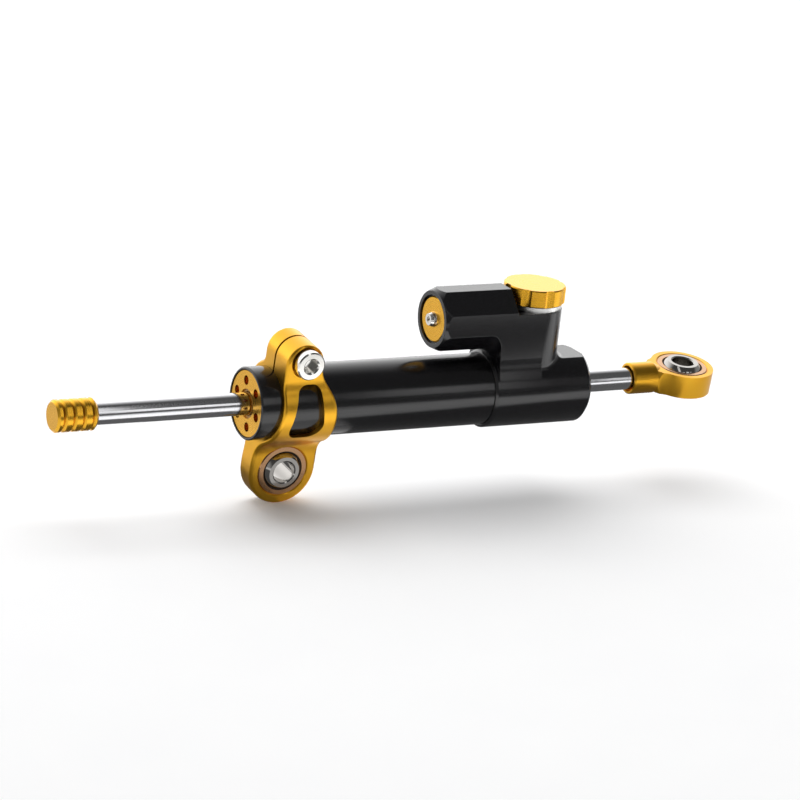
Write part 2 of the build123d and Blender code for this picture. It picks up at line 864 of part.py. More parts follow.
def clamp():
    width = clamp_rear_edge + lobe_diameter
    tube = tube_diameter / 2 + running_gap
    body = extrude(Plane.YZ * clamp_end_profile(), width, both=True)
    body = body & extrude(Plane.XZ * clamp_side_profile(), 2 * ring_radius, both=True)
    body = fillet(body.edges().filter_by(is_clamp_rim), clamp_round)
    body -= Pos(0, 0, -lobe_drop) * Rot(90, 0, 0) * eye_hole()
    body -= clamp_window()
    body -= rod_x(-width, width, tube)
    slit = slit_width / 2
    body -= block(-width, width, -slit_offset - slit, -slit_offset + slit, 0, ear_height + ear_diameter)
    body -= clamp_screw_hole()
    return at_clamp(body)


def clamp_screw():
    """Socket-head screw along Y, its head standing out of the counterbore."""
    seat = -ear_front + counterbore_depth
    top = screw_head_height
    head = screw_head_diameter / 2
    shank = screw_diameter / 2
    screw = turned_z(
        (0, -screw_length), (shank, -screw_length), (shank, 0), (head, 0), (head, top - screw_head_edge),
        (head - screw_head_edge, top), (0, top))
    screw -= Pos(0, 0, top) * hex_prism(screw_key, screw_key_depth)
    entry = screw_key / 2 + screw_key_entry
    screw -= turned_z((0, top - entry), (entry + overrun, top + overrun), (0, top + overrun))
    return at_clamp(Pos(-ear_offset, seat, ear_height) * Rot(90, 0, 0) * screw)


pieces = {
    "barrel_tube": barrel_tube(),
    "head_housing": head_housing(),
    "tube_seal": tube_seal(),
    "front_gland": front_gland(),
    "gland_seal": gland_seal(),
    "front_wiper": rod_wiper(gland_face_x, 1),
    "front_rod_seal": rod_seal(gland_face_x, 1),
    "front_guide_bush": guide_bush(gland_face_x, 1),
    "front_bump_stop": bump_stop(gland_end_x, gland_end_x + bump_length),
    "rear_wiper": rod_wiper(head_end_x, -1),
    "rear_rod_seal": rod_seal(head_end_x, -1),
    "rear_guide_bush": guide_bush(head_end_x, -1),
    "rear_bump_stop": bump_stop(spigot_end_x - bump_length, spigot_end_x),
    "reservoir_plug": reservoir_plug(),
    "plug_seal": plug_seal(),
    "fill_screw": fill_screw(),
    "floating_piston": floating_piston(),
    "float_seal": float_seal(),
    "valve_collar": valve_collar(),
    "valve_cartridge": valve_cartridge(),
    "cartridge_seal": cartridge_seal(),
    "needle": needle(),
    "knob": knob(),
    "knob_grub_screw": knob_grub_screw(),
    "detent_ball": detent_ball(),
    "detent_spring": detent_spring(),
    "rod": rod(),
    "piston": piston(),
    "piston_clips": piston_clips(),
    "piston_band": piston_band(),
    "end_cap": end_cap(),
    "rod_end": rod_end(),
    "rod_end_race": at_rod_end(bearing_race()),
    "rod_end_liner": at_rod_end(bearing_liner()),
    "rod_end_ball": at_rod_end(bearing_ball()),
    "clamp": clamp(),
    "clamp_screw": clamp_screw(),
    "clamp_race": at_lobe(bearing_race()),
    "clamp_liner": at_lobe(bearing_liner()),
    "clamp_ball": at_lobe(bearing_ball()),
}

os.makedirs("parts", exist_ok=True)
for name, piece in pieces.items():
    export_step(piece, "parts/" + name + ".step")
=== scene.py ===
import math

import bpy
import numpy as np
from mathutils import Matrix, Vector


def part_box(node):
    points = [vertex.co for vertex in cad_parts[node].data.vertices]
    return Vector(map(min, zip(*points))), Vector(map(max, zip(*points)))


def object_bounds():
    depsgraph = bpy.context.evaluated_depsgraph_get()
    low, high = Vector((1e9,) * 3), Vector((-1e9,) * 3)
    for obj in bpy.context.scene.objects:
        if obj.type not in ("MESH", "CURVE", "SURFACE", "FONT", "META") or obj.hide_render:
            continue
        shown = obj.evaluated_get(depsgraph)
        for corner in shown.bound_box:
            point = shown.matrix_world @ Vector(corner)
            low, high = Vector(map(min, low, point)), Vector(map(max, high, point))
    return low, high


bl_info = {
    "name": "Steering Damper",
    "version": (1, 0, 0),
    "blender": (4, 5, 0),
    "location": "View3D > Sidebar > Damper",
    "description": "Gives a motorcycle steering damper its finishes and sets it in a studio",
    "category": "Object",
}

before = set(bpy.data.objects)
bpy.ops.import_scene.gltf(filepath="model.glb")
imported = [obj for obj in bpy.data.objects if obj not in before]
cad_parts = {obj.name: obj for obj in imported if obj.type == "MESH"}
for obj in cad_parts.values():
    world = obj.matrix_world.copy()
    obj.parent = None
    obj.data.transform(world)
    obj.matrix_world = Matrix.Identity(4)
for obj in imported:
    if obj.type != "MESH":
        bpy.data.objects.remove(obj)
cad_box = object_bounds()

# Axes that the turned pieces were spun about, as a point on the axis in metres and the turn that
# brings Z onto it
PLUG_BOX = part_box("reservoir_plug")
COLLAR_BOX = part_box("valve_collar")
ROD_AXIS = Vector((0, 0, 0))
PLUG_AXIS = Vector((0, 0, (PLUG_BOX[0].z + PLUG_BOX[1].z) / 2))
KNOB_AXIS = Vector(((COLLAR_BOX[0].x + COLLAR_BOX[1].x) / 2, 0, 0))
LENGTHWISE = (0, math.radians(90), 0)
UPRIGHT = (0, 0, 0)

# The floor and the lamp
FLOOR_SIZE = 8
SOFTBOX_PLACE = (0.0, 0.7, 1.6)
SOFTBOX_WIDTH = 1.8
SOFTBOX_HEIGHT = 1.4

# Bright wall behind: where it starts and where it is at full strength, as angles up and over from
# the front. End walls: how far a direction leans along X where they start and where they are full.
BACK_WALL_FROM = math.radians(88)
BACK_WALL_FULL = math.radians(160)
END_WALL_FROM = 0.75
END_WALL_FULL = 0.95

# Cards on the floor, by name and paint. Each has two or more columns: x, y at the front, y behind.
CARD_LIFT = 0.0005
FLOOR_CARDS = (
    ("black_card_rod", "black_card", ((-0.33, -0.058, 0.04), (-0.207, -0.05, 0.04))),
    ("black_card_barrel", "black_card", (
        (-0.166, -0.045, 0.04), (-0.06, -0.044, 0.04), (-0.012, -0.031, 0.04))),
    ("black_card_lobe", "black_card", ((-0.25, 0.012, 0.085), (-0.166, 0.012, 0.085))),
    ("grey_card_rod_end", "dim_card", ((-0.012, -0.03, 0.04), (0.07, -0.03, 0.04))),
    ("grey_card_lobe", "dim_card", ((-0.205, -0.052, -0.018), (-0.168, -0.052, -0.018))),
    ("grey_card_back", "grey_card", ((-0.55, 0.085, 0.4), (-0.16, 0.085, 0.4))),
    ("white_card_front", "white_card", (
        (-0.3, -0.185, -0.058), (-0.15, -0.115, -0.048),
        (-0.06, -0.115, -0.047), (0.1, -0.1, -0.035))),
    ("grey_card_front", "dim_card", ((-0.4, -0.7, -0.2), (0.8, -0.7, -0.2))),
)

# A black bar in front, between the floor's reflection and the strip light's
BAR_ENDS = (-0.32, 0.35)
BAR_Y = -0.1
BAR_BOTTOM = -0.015
BAR_TOP = 0.008

# Strip lights over the front, at one distance from the rod's axis: start and end along X, then the
# angles of the lower and the upper edge above the front
STRIP_REACH = 0.35
STRIP_LIGHTS = (
    ("strip_light_rod", (-0.132, -0.045), math.radians(12), math.radians(32)),
    ("strip_light_barrel", (0.01, 0.095), math.radians(12), math.radians(32)),
    ("strip_light_end", (0.166, 0.19), math.radians(12), math.radians(32)),
    ("strip_light_cap", (-0.22, -0.148), math.radians(12), math.radians(75)),
)


class DamperFinishes(bpy.types.PropertyGroup):
    """Colours of the finishes, as sRGB hex values, and the fine marks that making leaves"""

    black: bpy.props.StringProperty(
        name="Black", description="Dyed oxide film on the barrel and head", default="141417")
    gold: bpy.props.StringProperty(
        name="Gold", description="Dyed oxide film on the clamp, knob, cap and rod end",
        default="E2AF34")
    chrome: bpy.props.StringProperty(
        name="Chrome", description="Hard chrome plating on the rod", default="E4E4E6")
    steel: bpy.props.StringProperty(
        name="Bearing steel", description="Polished balls of the spherical bearings",
        default="A9A6A2")
    race: bpy.props.StringProperty(
        name="Race", description="Ground outer rings of the spherical bearings",
        default="BC9068")
    zinc: bpy.props.StringProperty(
        name="Zinc", description="Plated steel of the screws", default="EDEBE6")
    rubber: bpy.props.StringProperty(
        name="Rubber", description="Nitrile rubber of the seals and bump stops", default="1A1A1B")
    wiper: bpy.props.StringProperty(
        name="Wiper", description="Amber polyurethane of the rod wipers", default="C8923C")
    grit: bpy.props.FloatProperty(
        name="Blasting grit", description="Size of the dimples left by bead blasting",
        default=0.0006, subtype="DISTANCE", unit="LENGTH")
    eased_edge: bpy.props.FloatProperty(
        name="Eased edge", description="Radius that tumbling leaves on the black edges",
        default=0.0004, subtype="DISTANCE", unit="LENGTH")
    tool_feed: bpy.props.FloatProperty(
        name="Tool feed", description="Spacing of the fine lines left by turning",
        default=0.0005, subtype="DISTANCE", unit="LENGTH")


class DamperCamera(bpy.types.PropertyGroup):
    """Where the camera stands and how it is held"""

    azimuth: bpy.props.FloatProperty(
        name="Azimuth", description="Angle round the damper from straight in front",
        default=math.radians(-30.4558), subtype="ANGLE", unit="ROTATION")
    elevation: bpy.props.FloatProperty(
        name="Elevation", description="Angle above the rod", default=math.radians(17.6563),
        subtype="ANGLE", unit="ROTATION")
    roll: bpy.props.FloatProperty(
        name="Roll", description="Turn about the line of sight", default=math.radians(6.27744),
        subtype="ANGLE", unit="ROTATION")
    distance: bpy.props.FloatProperty(
        name="Distance", description="From the target to the camera", default=1.7506,
        subtype="DISTANCE", unit="LENGTH")
    target: bpy.props.FloatVectorProperty(
        name="Target", description="Point on the rod's axis that the camera is set out from",
        default=(-0.09913, 0.0, 0.0), subtype="TRANSLATION", unit="LENGTH")
    offset: bpy.props.FloatVectorProperty(
        name="Offset", description="Shift of the camera to its right and up",
        default=(-0.04167, -0.005688), size=2, subtype="TRANSLATION", unit="LENGTH")
    lens: bpy.props.FloatProperty(
        name="Lens", description="Focal length on a 36 mm sensor", default=176.6,
        subtype="DISTANCE_CAMERA")


class DamperStage(bpy.types.PropertyGroup):
    """The floor under the damper, the light round it and the cards that it reflects"""

    slope: bpy.props.FloatProperty(
        name="Card slope", description="Tilt of the cards, up from the clamp's foot to the rod end",
        default=math.radians(10.9), subtype="ANGLE", unit="ROTATION")
    floor: bpy.props.StringProperty(
        name="Floor", description="Colour of the floor", default="F4F4F5")
    floor_glow: bpy.props.FloatProperty(
        name="Floor glow", description="Light that the floor adds where camera or metal shows it",
        default=0.12, min=0)
    back_wall: bpy.props.FloatProperty(
        name="Back wall", description="Strength of the bright wall behind the damper",
        default=1.9, min=0)
    strip: bpy.props.FloatProperty(
        name="Strip lights", description="Strength of the strip lights over the front",
        default=0.75, min=0)
    white_card: bpy.props.FloatProperty(
        name="White card", description="Strength of the white card on the floor in front",
        default=1.1, min=0)
    black_card: bpy.props.FloatProperty(
        name="Black cards", description="Trace of light that the black cards give back",
        default=0.12, min=0)
    front_card: bpy.props.FloatProperty(
        name="Dim cards", description="Strength of the grey cards in front and under both ends",
        default=0.75, min=0)
    grey_card: bpy.props.FloatProperty(
        name="Back card", description="Strength of the grey card behind the left end",
        default=0.75, min=0)
    room: bpy.props.FloatProperty(
        name="Room", description="Strength of the dim rest of the room", default=0.1, min=0)
    side_wall: bpy.props.FloatProperty(
        name="End walls", description="Strength of the walls at both ends of the damper",
        default=0.45, min=0)
    softbox: bpy.props.FloatProperty(
        name="Softbox", description="Power of the large soft lamp behind and above", default=22.0,
        min=0, unit="POWER")


def linear(code):
    """sRGB hex colour as linear RGBA."""
    channels = [int(code[i:i + 2], 16) / 255 for i in (0, 2, 4)]
    light = [c / 12.92 if c <= 0.04045 else ((c + 0.055) / 1.055) ** 2.4 for c in channels]
    return (*light, 1.0)


def add_node(tree, kind, inputs=None, **settings):
    """One node with its settings, and with its sockets set or linked."""
    made = tree.nodes.new(kind)
    for name, value in settings.items():
        setattr(made, name, value)
    for socket, value in (inputs or {}).items():
        if isinstance(value, bpy.types.NodeSocket):
            tree.links.new(value, made.inputs[socket])
        else:
            made.inputs[socket].default_value = value
    return made


def new_material(name):
    """An empty node material and its Principled shader."""
    material = bpy.data.materials.new(name)
    material.use_nodes = True
    shader = material.node_tree.nodes["Principled BSDF"]
    return material, material.node_tree, shader


def lathe_lines(tree, feed, centre, turn):
    """Random rings and lines round an axis, as a lathe leaves them: one line for each feed.

    A real feed of about 0.1 mm wouldn't show in the render, so it is drawn coarser.
    """
    here = add_node(tree, "ShaderNodeTexCoord")
    placed = add_node(tree, "ShaderNodeMapping", {
        "Vector": here.outputs["Object"], "Location": centre, "Rotation": turn},
        vector_type="TEXTURE")
    parts = add_node(tree, "ShaderNodeSeparateXYZ", {"Vector": placed.outputs["Vector"]})
    across = add_node(tree, "ShaderNodeCombineXYZ", {
        "X": parts.outputs["X"], "Y": parts.outputs["Y"]})
    radius = add_node(tree, "ShaderNodeVectorMath", {
        0: across.outputs["Vector"]}, operation="LENGTH")
    spun = add_node(tree, "ShaderNodeCombineXYZ", {
        "X": radius.outputs["Value"], "Y": parts.outputs["Z"]})
    return add_node(tree, "ShaderNodeTexNoise", {
        "Vector": spun.outputs["Vector"], "Scale": 1 / feed, "Detail": 2.0, "Roughness": 0.6},
        noise_dimensions="2D")


def dapple(tree, size, detail):
    """Soft cloudy variation with patches of the given size."""
    here = add_node(tree, "ShaderNodeTexCoord")
    return add_node(tree, "ShaderNodeTexNoise", {
        "Vector": here.outputs["Object"], "Scale": 1 / size, "Detail": detail, "Roughness": 0.55})


# The barrel and head are 6000-series aluminium with a black dyed oxide film. The film is a clear
# hard layer over the dye, so light glances off it white, and the turning shows as faint lines. The
# edges were eased by tumbling, and each one catches a thin bright line.
def black_anodised_aluminium(name, centre, turn):
    look = bpy.context.scene.damper_finishes
    material, tree, shader = new_material(name)
    lines = lathe_lines(tree, look.tool_feed, centre, turn)
    cloud = dapple(tree, size=0.012, detail=3.0)
    tone = add_node(tree, "ShaderNodeMix", {
        "Factor": cloud.outputs["Fac"], "A": linear(look.black), "B": linear("141416")},
        data_type="RGBA")
    sheen = add_node(tree, "ShaderNodeMapRange", {
        "Value": lines.outputs["Fac"], "To Min": 0.14, "To Max": 0.22})
    eased = add_node(tree, "ShaderNodeBevel", {"Radius": look.eased_edge}, samples=6)
    relief = add_node(tree, "ShaderNodeBump", {
        "Height": lines.outputs["Fac"], "Normal": eased.outputs["Normal"],
        "Strength": 0.08, "Distance": 0.00005})
    tree.links.new(tone.outputs["Result"], shader.inputs["Base Color"])
    tree.links.new(sheen.outputs["Result"], shader.inputs["Roughness"])
    tree.links.new(relief.outputs["Normal"], shader.inputs["Normal"])
    shader.inputs["IOR"].default_value = 1.6
    return material


# Turned gold pieces: the dyed film is thin enough for the bright aluminium to shine through, so
# it reflects like a tinted metal, drawn out in fine rings by the lathe.
def gold_turned_aluminium(name, centre, turn):
    look = bpy.context.scene.damper_finishes
    material, tree, shader = new_material(name)
    lines = lathe_lines(tree, look.tool_feed, centre, turn)
    tone = add_node(tree, "ShaderNodeMix", {
        "Factor": lines.outputs["Fac"], "A": linear(look.gold), "B": linear("F0AE33")},
        data_type="RGBA")
    sheen = add_node(tree, "ShaderNodeMapRange", {
        "Value": lines.outputs["Fac"], "To Min": 0.2, "To Max": 0.34})
    relief = add_node(tree, "ShaderNodeBump", {
        "Height": lines.outputs["Fac"], "Strength": 0.15, "Distance": 0.00005})
    tree.links.new(tone.outputs["Result"], shader.inputs["Base Color"])
    tree.links.new(sheen.outputs["Result"], shader.inputs["Roughness"])
    tree.links.new(relief.outputs["Normal"], shader.inputs["Normal"])
    shader.inputs["Metallic"].default_value = 1.0
    return material


# The clamp and the rod end are milled, tumbled and bead blasted before they are dyed, which
# gives a soft satin gold with a fine grain. Real grit leaves dimples of 0.1 mm, drawn larger here.
def gold_blasted_aluminium(name):
    look = bpy.context.scene.damper_finishes
    material, tree, shader = new_material(name)
    grain = dapple(tree, size=look.grit, detail=2.0)
    cloud = dapple(tree, size=0.009, detail=3.0)
    tone = add_node(tree, "ShaderNodeMix", {
        "Factor": cloud.outputs["Fac"], "A": linear(look.gold), "B": linear("ECA92E")},
        data_type="RGBA")
    sheen = add_node(tree, "ShaderNodeMapRange", {
        "Value": grain.outputs["Fac"], "To Min": 0.24, "To Max": 0.4})
    relief = add_node(tree, "ShaderNodeBump", {
        "Height": grain.outputs["Fac"], "Strength": 0.25, "Distance": 0.00006})
    tree.links.new(tone.outputs["Result"], shader.inputs["Base Color"])
    tree.links.new(sheen.outputs["Result"], shader.inputs["Roughness"])
    tree.links.new(relief.outputs["Normal"], shader.inputs["Normal"])
    shader.inputs["Metallic"].default_value = 1.0
    return material


# Bare turned aluminium: the collar under the knob and the pieces inside.
def bare_turned_aluminium(name, centre, turn):
    look = bpy.context.scene.damper_finishes
    material, tree, shader = new_material(name)
    lines = lathe_lines(tree, look.tool_feed, centre, turn)
    tone = add_node(tree, "ShaderNodeMix", {
        "Factor": lines.outputs["Fac"], "A": linear("E6E6E4"), "B": linear("FAFAF8")},
        data_type="RGBA")
    sheen = add_node(tree, "ShaderNodeMapRange", {
        "Value": lines.outputs["Fac"], "To Min": 0.25, "To Max": 0.4})
    tree.links.new(tone.outputs["Result"], shader.inputs["Base Color"])
    tree.links.new(sheen.outputs["Result"], shader.inputs["Roughness"])
    shader.inputs["Metallic"].default_value = 1.0
    return material


# Hard chrome, ground and polished round the rod: a near mirror with a trace of the grinding.
def hard_chrome(name):
    look = bpy.context.scene.damper_finishes
    material, tree, shader = new_material(name)
    lines = lathe_lines(tree, look.tool_feed, ROD_AXIS, LENGTHWISE)
    tone = add_node(tree, "ShaderNodeMix", {
        "Factor": lines.outputs["Fac"], "A": linear("C9C9CD"), "B": linear(look.chrome)},
        data_type="RGBA")
    sheen = add_node(tree, "ShaderNodeMapRange", {
        "Value": lines.outputs["Fac"], "To Min": 0.1, "To Max": 0.18})
    tree.links.new(tone.outputs["Result"], shader.inputs["Base Color"])
    tree.links.new(sheen.outputs["Result"], shader.inputs["Roughness"])
    shader.inputs["Metallic"].default_value = 1.0
    return material


# Bearing and screw steel: hardened and ground, or plated bright, with light handling marks.
def ground_steel(name, code, smooth, rough):
    material, tree, shader = new_material(name)
    cloud = dapple(tree, size=0.004, detail=3.0)
    weight = add_node(tree, "ShaderNodeMapRange", {
        "Value": cloud.outputs["Fac"], "To Min": 0.0, "To Max": 0.15})
    tone = add_node(tree, "ShaderNodeMix", {
        "Factor": weight.outputs["Result"], "A": linear(code), "B": linear("8F8B87")},
        data_type="RGBA")
    sheen = add_node(tree, "ShaderNodeMapRange", {
        "Value": cloud.outputs["Fac"], "To Min": smooth, "To Max": rough})
    tree.links.new(tone.outputs["Result"], shader.inputs["Base Color"])
    tree.links.new(sheen.outputs["Result"], shader.inputs["Roughness"])
    shader.inputs["Metallic"].default_value = 1.0
    return material


# Nitrile rubber, moulded: matt black with a slight bloom.
def nitrile_rubber(name):
    look = bpy.context.scene.damper_finishes
    material, tree, shader = new_material(name)
    cloud = dapple(tree, size=0.0015, detail=3.0)
    tone = add_node(tree, "ShaderNodeMix", {
        "Factor": cloud.outputs["Fac"], "A": linear(look.rubber), "B": linear("242425")},
        data_type="RGBA")
    relief = add_node(tree, "ShaderNodeBump", {
        "Height": cloud.outputs["Fac"], "Strength": 0.2, "Distance": 0.00005})
    tree.links.new(tone.outputs["Result"], shader.inputs["Base Color"])
    tree.links.new(relief.outputs["Normal"], shader.inputs["Normal"])
    shader.inputs["Roughness"].default_value = 0.6
    return material


# Cast polyurethane in amber, as rod wipers often are: soft, even and a little waxy.
def cast_polyurethane(name):
    look = bpy.context.scene.damper_finishes
    material, tree, shader = new_material(name)
    cloud = dapple(tree, size=0.002, detail=3.0)
    tone = add_node(tree, "ShaderNodeMix", {
        "Factor": cloud.outputs["Fac"], "A": linear(look.wiper), "B": linear("B98434")},
        data_type="RGBA")
    tree.links.new(tone.outputs["Result"], shader.inputs["Base Color"])
    shader.inputs["Roughness"].default_value = 0.4
    shader.inputs["IOR"].default_value = 1.5
    return material


# Leaded bronze, turned: the guide bushes and the valve cartridge.
def turned_bronze(name):
    material, tree, shader = new_material(name)
    cloud = dapple(tree, size=0.003, detail=4.0)
    tone = add_node(tree, "ShaderNodeMix", {
        "Factor": cloud.outputs["Fac"], "A": linear("8C6433"), "B": linear("B98A4E")},
        data_type="RGBA")
    tree.links.new(tone.outputs["Result"], shader.inputs["Base Color"])
    shader.inputs["Metallic"].default_value = 1.0
    shader.inputs["Roughness"].default_value = 0.38
    return material


# Woven bearing cloth soaked in resin: brown and dull. Real threads are about 0.4 mm apart. The wave
# repeats every 0.314 units at a scale of 1, so they are drawn twice as coarse, to show.
def woven_liner(name):
    thread = 0.0004
    material, tree, shader = new_material(name)
    here = add_node(tree, "ShaderNodeTexCoord")
    threads = add_node(tree, "ShaderNodeTexWave", {
        "Vector": here.outputs["Object"], "Scale": 1 / thread / 6.28, "Distortion": 1.5})
    tone = add_node(tree, "ShaderNodeMix", {
        "Factor": threads.outputs["Fac"], "A": linear("3A2C1E"), "B": linear("5B4630")},
        data_type="RGBA")
    tree.links.new(tone.outputs["Result"], shader.inputs["Base Color"])
    shader.inputs["Roughness"].default_value = 0.75
    return material


def finish(material, *names):
    """Give CAD nodes their material."""
    for name in names:
        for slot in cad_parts[name].material_slots:
            slot.material = material


class DAMPER_OT_barrel(bpy.types.Operator):
    """Finish the barrel tube and the head in black"""

    bl_idname = "damper.barrel"
    bl_label = "Barrel and head"

    def execute(self, context):
        tube = black_anodised_aluminium("black_anodised_tube", ROD_AXIS, LENGTHWISE)
        finish(tube, "barrel_tube")
        head = black_anodised_aluminium("black_anodised_head", ROD_AXIS, LENGTHWISE)
        finish(head, "head_housing")
        return {"FINISHED"}


class DAMPER_OT_turned_gold(bpy.types.Operator):
    """Finish the gland, the end cap, the reservoir plug and the knob in turned gold"""

    bl_idname = "damper.turned_gold"
    bl_label = "Turned gold pieces"

    def execute(self, context):
        ends = gold_turned_aluminium("gold_turned_rod", ROD_AXIS, LENGTHWISE)
        finish(ends, "front_gland", "end_cap")
        finish(gold_turned_aluminium("gold_turned_plug", PLUG_AXIS, LENGTHWISE), "reservoir_plug")
        finish(gold_turned_aluminium("gold_turned_knob", KNOB_AXIS, UPRIGHT), "knob")
        return {"FINISHED"}


class DAMPER_OT_blasted_gold(bpy.types.Operator):
    """Finish the clamp and the rod end in blasted gold"""

    bl_idname = "damper.blasted_gold"
    bl_label = "Blasted gold pieces"

    def execute(self, context):
        finish(gold_blasted_aluminium("gold_blasted"), "clamp", "rod_end")
        return {"FINISHED"}


class DAMPER_OT_rod(bpy.types.Operator):
    """Plate the rod with hard chrome"""

    bl_idname = "damper.rod"
    bl_label = "Rod"

    def execute(self, context):
        finish(hard_chrome("hard_chrome"), "rod")
        return {"FINISHED"}


class DAMPER_OT_bearings(bpy.types.Operator):
    """Finish both spherical bearings"""

    bl_idname = "damper.bearings"
    bl_label = "Spherical bearings"

    def execute(self, context):
        look = context.scene.damper_finishes
        ball = ground_steel("polished_ball", look.steel, smooth=0.08, rough=0.12)
        finish(ball, "rod_end_ball", "clamp_ball", "detent_ball")
        race = ground_steel("ground_race", look.race, smooth=0.16, rough=0.22)
        finish(race, "rod_end_race", "clamp_race")
        finish(woven_liner("woven_liner"), "rod_end_liner", "clamp_liner", "piston_band")
        return {"FINISHED"}


class DAMPER_OT_screws(bpy.types.Operator):
    """Plate the screws and the small steel pieces"""

    bl_idname = "damper.screws"
    bl_label = "Screws"

    def execute(self, context):
        look = context.scene.damper_finishes
        plated = ground_steel("bright_zinc", look.zinc, smooth=0.12, rough=0.2)
        finish(plated, "clamp_screw", "fill_screw", "knob_grub_screw")
        finish(plated, "detent_spring", "needle", "piston_clips")
        return {"FINISHED"}


class DAMPER_OT_inside(bpy.types.Operator):
    """Finish the seals, the bushes and the pieces inside"""

    bl_idname = "damper.inside"
    bl_label = "Seals and inner pieces"

    def execute(self, context):
        rubber = nitrile_rubber("nitrile_rubber")
        finish(rubber, "tube_seal", "gland_seal", "front_rod_seal", "front_bump_stop", "plug_seal")
        finish(rubber, "rear_rod_seal", "rear_bump_stop", "float_seal", "cartridge_seal")
        finish(cast_polyurethane("cast_polyurethane"), "front_wiper", "rear_wiper")
        bronze = turned_bronze("turned_bronze")
        finish(bronze, "front_guide_bush", "rear_guide_bush", "valve_cartridge")
        finish(bare_turned_aluminium("bare_turned_piston", ROD_AXIS, LENGTHWISE), "piston")
        finish(bare_turned_aluminium("bare_turned_float", PLUG_AXIS, LENGTHWISE), "floating_piston")
        finish(bare_turned_aluminium("bare_turned_collar", KNOB_AXIS, UPRIGHT), "valve_collar")
        return {"FINISHED"}


def camera_axes(view):
    """The camera's right, up and back directions."""
    level = math.cos(view.elevation)
    back = Vector((
        math.sin(view.azimuth) * level, -math.cos(view.azimuth) * level, math.sin(view.elevation)))
    right = Vector((math.cos(view.azimuth), math.sin(view.azimuth), 0))
    up = back.cross(right)
    turned_right = right * math.cos(view.roll) + up * math.sin(view.roll)
    turned_up = up * math.cos(view.roll) - right * math.sin(view.roll)
    return turned_right, turned_up, back


class DAMPER_OT_camera(bpy.types.Operator):
    """Stand the camera where the photograph was taken from"""

    bl_idname = "damper.camera"
    bl_label = "Camera"

    def execute(self, context):
        view = context.scene.damper_camera
        right, up, back = camera_axes(view)
        shift = right * view.offset[0] + up * view.offset[1]
        place = Vector(view.target) + back * view.distance + shift
        data = bpy.data.cameras.new("photo_camera")
        data.sensor_width = 36
        data.lens = view.lens
        data.clip_start = 0.1
        data.clip_end = 50
        camera = bpy.data.objects.new("photo_camera", data)
        camera.matrix_world = Matrix((
            (right.x, up.x, back.x, place.x), (right.y, up.y, back.y, place.y),
            (right.z, up.z, back.z, place.z), (0, 0, 0, 1)))
        context.collection.objects.link(camera)
        context.scene.camera = camera
        return {"FINISHED"}


def lowest_along(direction):
    """Height of the damper's lowest point along a direction."""
    heights = []
    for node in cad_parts.values():
        points = np.array([vertex.co[:] for vertex in node.data.vertices])
        heights.append(float((points @ np.array(direction)).min()))
    return min(heights)


# Matt painted floor without gloss, or it would show the cards. Camera and mirror rays get a little
# more light from it, so that it stays white there and still keeps the damper's shadow.
def floor_paint(stage):
    material, tree, shader = new_material("floor_paint")
    speckle = dapple(tree, size=0.03, detail=2.0)
    tone = add_node(tree, "ShaderNodeMix", {
        "Factor": speckle.outputs["Fac"], "A": linear(stage.floor), "B": linear("F8F8F8")},
        data_type="RGBA")
    tree.links.new(tone.outputs["Result"], shader.inputs["Base Color"])
    shader.inputs["Roughness"].default_value = 0.9
    shader.inputs["Specular IOR Level"].default_value = 0.0
    seen = seen_directly(tree)
    glow = add_node(tree, "ShaderNodeMath", {0: seen, 1: stage.floor_glow}, operation="MULTIPLY")
    shader.inputs["Emission Color"].default_value = linear("FFFFFF")
    tree.links.new(glow.outputs["Value"], shader.inputs["Emission Strength"])
    return material


def seen_directly(tree):
    """1 for camera rays and for what metal or glass shows, and 0 for light that falls on things."""
    path = add_node(tree, "ShaderNodeLightPath")
    mirrored = add_node(tree, "ShaderNodeMath", {
        0: path.outputs["Is Camera Ray"], 1: path.outputs["Is Glossy Ray"]}, operation="MAXIMUM")
    seen = add_node(tree, "ShaderNodeMath", {
        0: mirrored.outputs["Value"], 1: path.outputs["Is Transmission Ray"]}, operation="MAXIMUM")
    return seen.outputs["Value"]


# A bright wall behind the damper and a dim room in front, which keeps the black metal black. The
# camera sees plain white instead.
def studio_walls(stage):
    world = bpy.data.worlds.new("studio_walls")
    bpy.context.scene.world = world
    world.use_nodes = True
    tree = world.node_tree
    background = tree.nodes["Background"]
    here = add_node(tree, "ShaderNodeTexCoord")
    parts = add_node(tree, "ShaderNodeSeparateXYZ", {"Vector": here.outputs["Generated"]})
    forward = add_node(tree, "ShaderNodeMath", {
        0: parts.outputs["Y"], 1: -1.0}, operation="MULTIPLY")
    over = add_node(tree, "ShaderNodeMath", {
        0: parts.outputs["Z"], 1: forward.outputs["Value"]}, operation="ARCTAN2")
    behind = add_node(tree, "ShaderNodeMapRange", {
        "Value": over.outputs["Value"], "From Min": BACK_WALL_FROM, "From Max": BACK_WALL_FULL,
        "To Min": stage.room, "To Max": stage.back_wall}, interpolation_type="SMOOTHSTEP")
    sideways = add_node(tree, "ShaderNodeMath", {0: parts.outputs["X"]}, operation="ABSOLUTE")
    ends = add_node(tree, "ShaderNodeMapRange", {
        "Value": sideways.outputs["Value"], "From Min": END_WALL_FROM, "From Max": END_WALL_FULL},
        interpolation_type="SMOOTHSTEP")
    room = add_node(tree, "ShaderNodeMix", {
        "Factor": ends.outputs["Result"], "A": behind.outputs["Result"], "B": stage.side_wall},
        data_type="FLOAT")
    path = add_node(tree, "ShaderNodeLightPath")
    strength = add_node(tree, "ShaderNodeMix", {
        "Factor": path.outputs["Is Camera Ray"], "A": room.outputs["Result"], "B": 1.0},
        data_type="FLOAT")
    tree.links.new(strength.outputs["Result"], background.inputs["Strength"])
    background.inputs["Color"].default_value = linear("FFFFFF")


